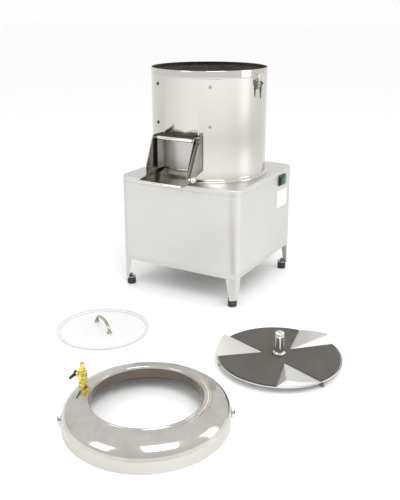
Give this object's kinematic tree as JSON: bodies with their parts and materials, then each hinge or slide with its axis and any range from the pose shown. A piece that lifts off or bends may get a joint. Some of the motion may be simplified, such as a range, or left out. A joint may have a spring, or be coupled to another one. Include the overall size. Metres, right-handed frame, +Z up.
{
  "type": "batch vegetable peeling machine",
  "caption": "Floor-standing drum peeler for root vegetables: belt-driven shaft under an open steel drum, hinged discharge door, with its spray ring, clear lid and abrasive disc beside it.",
  "frame": {"origin": "on the floor, in the middle of the rectangle that the machine and its loose lid, ring and disc take up together", "axes": "+Z up; the discharge chute points to -Y, where the loose parts lie, and the switch is on the side facing +X"},
  "size_m": [0.9836, 1.5057, 0.84],
  "materials": {
    "cabinet_steel": "fine-brushed stainless sheet, satin",
    "drum_steel": "bright rolled stainless, vertical sheen",
    "fitting_steel": "satin stainless fittings",
    "chrome_wire": "polished",
    "black_rubber": "matt moulded rubber",
    "abrasive_grit": "coarse bonded grit",
    "black_plastic": "fine-grained moulded plastic",
    "green_plastic": "gloss",
    "white_plate": "satin white",
    "brass": "bright machined",
    "clear_acrylic": "clear polished sheet",
    "motor_paint": "satin machine enamel",
    "cast_metal": "machined casting",
    "turned_steel": "turned"
  },
  "bodies": {
    "root": {"cabinet_shell": "cabinet_steel", "rear_panel": "cabinet_steel", "base_frame": "cabinet_steel", "leg_front_left": "cabinet_steel", "leg_front_right": "cabinet_steel", "leg_rear_left": "cabinet_steel", "leg_rear_right": "cabinet_steel", "drum_shell": "drum_steel", "discharge_chute": "drum_steel", "chamber_floor": "drum_steel", "liner_bolt_1": "fitting_steel", "liner_bolt_2": "fitting_steel", "liner_bolt_3": "fitting_steel", "liner_bolt_4": "fitting_steel", "latch_plate_left": "fitting_steel", "latch_plate_right": "fitting_steel", "waste_pipe": "fitting_steel", "foot_front_left": "black_rubber", "foot_front_right": "black_rubber", "foot_rear_left": "black_rubber", "foot_rear_right": "black_rubber", "door_seal": "black_rubber", "shaft_seal": "black_rubber", "drive_belt": "black_rubber", "abrasive_liner": "abrasive_grit", "switch_housing": "black_plastic", "cable_gland": "black_plastic", "motor_fan_cover": "black_plastic", "rating_plate": "white_plate", "motor_body": "motor_paint", "bearing_housing": "cast_metal", "motor_plate": "cast_metal", "bearing_upper": "turned_steel", "bearing_lower": "turned_steel"},
    "disc_drive": {"main_shaft": "turned_steel", "main_pulley": "cast_metal"},
    "motor_rotor": {"motor_shaft": "turned_steel", "motor_pulley": "cast_metal"},
    "door": {"door_leaf": "drum_steel", "door_hinge_rod": "drum_steel", "door_lever": "drum_steel", "door_knob": "fitting_steel"},
    "right_lever": {"latch_lever_right": "fitting_steel"},
    "right_bail": {"latch_bail_right": "chrome_wire"},
    "left_lever": {"latch_lever_left": "fitting_steel"},
    "left_bail": {"latch_bail_left": "chrome_wire"},
    "stop_key": {"stop_button": "black_plastic"},
    "start_key": {"start_button": "green_plastic"},
    "disc": {"disc_plate": "drum_steel", "disc_abrasive": "abrasive_grit", "lifting_post": "fitting_steel", "disc_hub": "cast_metal"},
    "spray_ring": {"ring_dome": "drum_steel", "ring_skirt": "drum_steel", "ring_catch_left": "fitting_steel", "ring_catch_right": "fitting_steel", "water_valve": "brass"},
    "valve_key": {"valve_lever": "black_plastic"},
    "lid": {"lid_disc": "clear_acrylic", "lid_handle": "chrome_wire"}
  },
  "joints": [
    {"name": "disc_drive_spin", "type": "hinge", "parent": "root", "child": "disc_drive", "pos_m": [-0.24185, 0.46259, 0.35], "axis": [0, 0, 1], "continuous": true},
    {"name": "motor_spin", "type": "hinge", "parent": "root", "child": "motor_rotor", "pos_m": [-0.35852, 0.34592, 0.3], "axis": [0, 0, 1], "continuous": true},
    {"name": "door_swing", "type": "hinge", "parent": "root", "child": "door", "pos_m": [-0.24185, 0.21259, 0.6005], "axis": [-1, 0, 0], "range_deg": [0, 95]},
    {"name": "right_lever_throw", "type": "hinge", "parent": "root", "child": "right_lever", "pos_m": [-0.01409, 0.43058, 0.79], "axis": [-0.1392, -0.9903, 0], "range_deg": [0, 140]},
    {"name": "right_bail_swing", "type": "hinge", "parent": "right_lever", "child": "right_bail", "pos_m": [-0.0126, 0.43037, 0.779], "axis": [-0.1392, -0.9903, 0], "range_deg": [-140, 0]},
    {"name": "left_lever_throw", "type": "hinge", "parent": "root", "child": "left_lever", "pos_m": [-0.46961, 0.4946, 0.79], "axis": [0.1392, 0.9903, 0], "range_deg": [0, 140]},
    {"name": "left_bail_swing", "type": "hinge", "parent": "left_lever", "child": "left_bail", "pos_m": [-0.4711, 0.49481, 0.779], "axis": [0.1392, 0.9903, 0], "range_deg": [-140, 0]},
    {"name": "stop_press", "type": "slide", "parent": "root", "child": "stop_key", "axis": [-1, 0, 0], "range_m": [0, 0.003], "stiffness_N_per_m": 700},
    {"name": "start_press", "type": "slide", "parent": "root", "child": "start_key", "axis": [-1, 0, 0], "range_m": [0, 0.003], "stiffness_N_per_m": 700},
    {"name": "disc_lift", "type": "slide", "parent": "root", "child": "disc", "axis": [0, 0, 1], "range_m": [0, 0.9]},
    {"name": "ring_lift", "type": "slide", "parent": "root", "child": "spray_ring", "axis": [0, 0, 1], "range_m": [0, 0.9]},
    {"name": "valve_turn", "type": "hinge", "parent": "spray_ring", "child": "valve_key", "pos_m": [-0.08156, -0.56344, 0.0983], "axis": [-0.9877, -0.1564, 0], "range_deg": [0, 90]},
    {"name": "lid_lift", "type": "slide", "parent": "root", "child": "lid", "axis": [0, 0, 1], "range_m": [0, 0.9]}
  ],
  "couplings": [
    {"joint": "motor_spin", "follows": "disc_drive_spin", "ratio": 4.9655},
    {"joint": "right_bail_swing", "follows": "right_lever_throw", "ratio": -1},
    {"joint": "left_bail_swing", "follows": "left_lever_throw", "ratio": -1}
  ]
}
